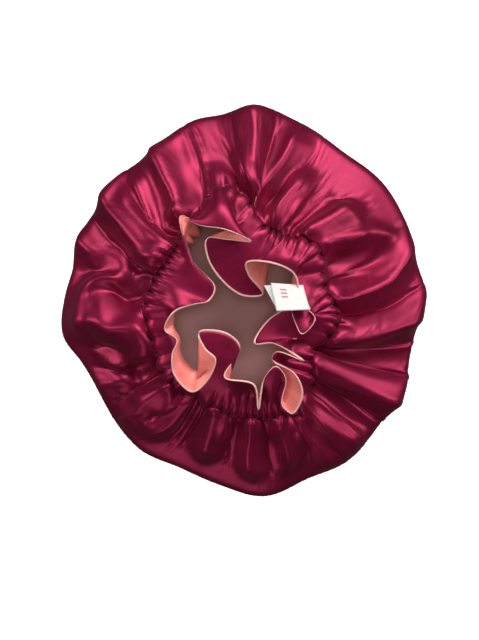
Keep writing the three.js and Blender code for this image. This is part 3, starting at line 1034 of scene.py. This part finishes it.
def label_material():
    material, start = new_material("label_tape_white")
    flat = start.out(start.node("ShaderNodeUVMap", {"uv_map": "tape"}), "UV")
    parts = start.node("ShaderNodeSeparateXYZ", Vector=flat)
    across = start.out(parts, "X")
    along = start.out(parts, "Y")
    weave = start.wave("X", flat, 900.0)
    rib = start.wave("Y", flat, 700.0)
    clouds = start.noise(flat, 160.0, 3.0)
    colour = start.mix(clouds * 0.7 + weave * 0.3, (0.70, 0.68, 0.65), (0.88, 0.865, 0.84))
    right_edge = across.band(*(label_width - inset for inset in WOVEN_EDGE))
    colour = start.mix((across.band(*WOVEN_EDGE) + right_edge) * 0.5, colour, (0.60, 0.57, 0.54))

    def stripe(value, low, high):
        """1 between low and high, with soft edges."""
        return value.band(low, low + BAR["soft"]) * value.band(high + BAR["soft"], high)

    bars = 0.0
    for far in BAR_PLACES:
        bars = stripe(label_length - along, far, far + BAR["wide"]) + bars
    reach = stripe(across, BAR["start"], BAR["end"])
    colour = start.mix(bars * reach * 0.75, colour, (0.42, 0.05, 0.08))
    bump = start.node("ShaderNodeBump", Height=weave + rib, Distance=0.00006, Strength=0.5)
    start.shade(Base_Color=colour, Roughness=0.48 + clouds * 0.2, Normal=start.out(bump))
    return material


label.data.materials.append(label_material())

# %% [markdown]
# ## Stitches of the channel
# Two rows of lockstitch hold the elastic's channel, one under it and one over it. Each is a path along
# the burgundy cloth, so Geometry Nodes can follow it: the path is cut into even steps, and a short plump
# bar of thread is laid along it at every step. The instances are then made real, as one mesh.

# %% Stitch paths and nodes
STITCH = {"pitch": 3.2, "length": 2.3, "thick": 0.42, "sink": 0.05}


def seam_path(name, ring):
    """A closed line of edges on the burgundy layer's far skin, at one ring of the cut."""
    row = int(np.argmin(np.abs(rings - ring)))
    far = layer_skins(1)[1][row] + (STITCH["thick"] / 2 - STITCH["sink"]) * away_from_middle[row]
    mesh = bpy.data.meshes.new(name)
    edges = [(k, (k + 1) % COLUMNS) for k in range(COLUMNS)]
    mesh.from_pydata(((far + shift) * MM).tolist(), edges, [])
    return put_in_scene(name, mesh)


def stitch_nodes(material):
    """Mesh line in, real stitches out; pitch, length and thickness are the group's inputs."""
    group = bpy.data.node_groups.new("stitch_row", "GeometryNodeTree")
    face = group.interface
    face.new_socket("Geometry", in_out="INPUT", socket_type="NodeSocketGeometry")
    for key in ("pitch", "length", "thick"):
        face.new_socket(key, in_out="INPUT", socket_type="NodeSocketFloat")
    face.new_socket("Geometry", in_out="OUTPUT", socket_type="NodeSocketGeometry")

    start = Sig(group, None)
    given = start.node("NodeGroupInput")
    pitch, length, thick = (start.out(given, key) for key in ("pitch", "length", "thick"))
    curve = start.node("GeometryNodeMeshToCurve", Mesh=start.out(given))
    steps = start.node("GeometryNodeResampleCurve", {"mode": "LENGTH"}, Curve=start.out(curve), Length=pitch)
    ball = start.node("GeometryNodeMeshUVSphere", Segments=6, Rings=5, Radius=0.5)
    size = start.node("ShaderNodeCombineXYZ", X=thick, Y=thick, Z=length)
    bar = start.node("GeometryNodeTransform", Geometry=start.out(ball), Scale=start.out(size))
    tangent = start.out(start.node("GeometryNodeInputTangent"))
    turn = start.node("FunctionNodeAlignRotationToVector", {"axis": "Z"}, Vector=tangent)
    placed = start.node(
        "GeometryNodeInstanceOnPoints",
        Points=start.out(steps), Instance=start.out(bar), Rotation=start.out(turn),
    )
    real = start.node("GeometryNodeRealizeInstances", Geometry=start.out(placed))
    painted = start.node("GeometryNodeSetMaterial", Geometry=start.out(real), Material=material)
    start.node("NodeGroupOutput", Geometry=start.out(painted))
    return group


def thread_material():
    material, start = new_material("burgundy_thread")
    twist = start.noise(start.out(start.node("ShaderNodeTexCoord"), "Object"), 900.0, 2.0)
    start.shade(Base_Color=start.mix(twist, (0.10, 0.003, 0.018), (0.24, 0.01, 0.045)), Roughness=0.55)
    return material


def stitch_row(name, ring, group):
    """Runs the node group on one seam's path and keeps the result as a plain mesh."""
    path = seam_path(name + "_path", ring)
    modifier = path.modifiers.new("stitches", "NODES")
    modifier.node_group = group
    for item in group.interface.items_tree:
        if item.in_out == "INPUT" and item.name in STITCH:
            modifier[item.identifier] = STITCH[item.name] * MM
    ready = path.evaluated_get(bpy.context.evaluated_depsgraph_get())
    mesh = bpy.data.meshes.new_from_object(ready)
    mesh.name = name
    mesh.materials.clear()
    mesh.materials.append(thread)
    bpy.data.objects.remove(path)
    return put_in_scene(name, mesh)


thread = thread_material()
thread_group = stitch_nodes(thread)
stitches = [
    stitch_row("seam_stitches_under_elastic", CUT["neck"], thread_group),
    stitch_row("seam_stitches_over_elastic", ruffle_start, thread_group),
]
for piece in stitches:
    print(piece.name, "faces", len(piece.data.polygons), "materials", len(piece.data.materials))

# %% [markdown]
# ## The elastic
# The elastic lies hidden between the layers and shows only as a pale ribbed tape if the cloth is taken
# away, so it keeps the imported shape, with a woven finish.

# %% Elastic
def woven_tape(name, colour):
    material, start = new_material(name)
    weave = start.wave("X", start.out(start.node("ShaderNodeTexCoord"), "Object"), 400.0)
    start.shade(Base_Color=start.mix(weave, [c * 0.93 for c in colour], colour), Roughness=0.75)
    return material


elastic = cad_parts["elastic_band"]
elastic.data.materials.clear()
elastic.data.materials.append(woven_tape("elastic_tape", (0.85, 0.82, 0.76)))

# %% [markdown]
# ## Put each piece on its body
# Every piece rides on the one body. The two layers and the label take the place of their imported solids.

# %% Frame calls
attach(outer, "root")
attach(lining, "root")
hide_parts("outer_satin")
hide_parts("lining_satin")
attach(label, "root")
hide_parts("label")
for piece in stitches:
    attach(piece, "root")
